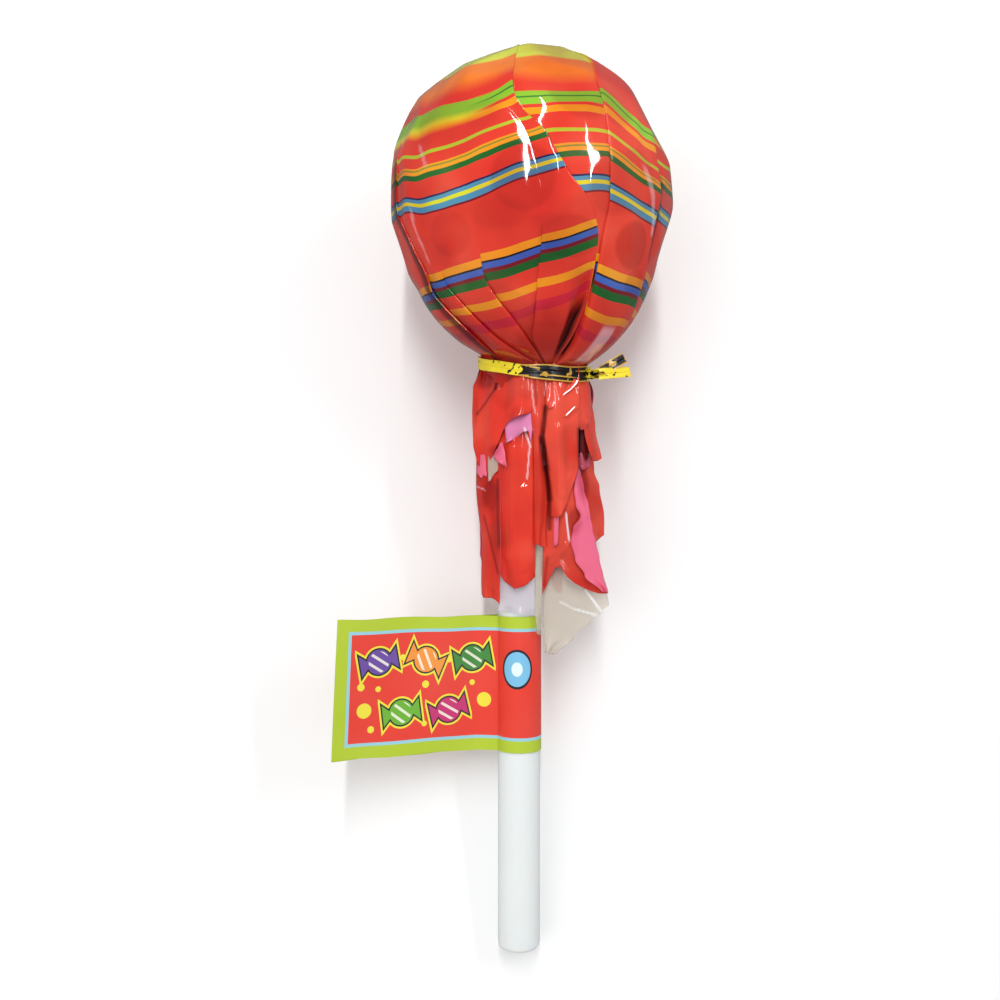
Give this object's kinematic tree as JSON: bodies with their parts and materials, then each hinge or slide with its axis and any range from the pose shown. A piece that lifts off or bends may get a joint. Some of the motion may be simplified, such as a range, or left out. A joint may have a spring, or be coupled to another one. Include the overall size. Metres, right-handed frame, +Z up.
{
  "type": "giant wrapped ball lollipop",
  "caption": "Large ball lollipop pack lying down: striped pleated film head, foil twist tie, hanging film skirt, tube stick and paper flag label.",
  "frame": {"origin": "centre of the small flat spot on the wrapped head that rests on the surface below", "axes": "+Z up, away from the surface it lies on, with the shown side up; +Y towards the crown of the head; +X to the right of the shown side"},
  "size_m": [0.1185, 0.3151, 0.0984],
  "materials": {
    "printed_film": "glossy printed film with coloured stripes",
    "stick_plastic": "smooth white moulded tube",
    "label_paper": "coated printed paper, lime border",
    "tie_foil": "metallised yellow and black strip round a wire"
  },
  "bodies": {
    "root": {"film_head": "printed_film", "film_skirt": "printed_film", "stick": "stick_plastic", "flag_label": "label_paper", "twist_tie": "tie_foil"}
  },
  "joints": []
}
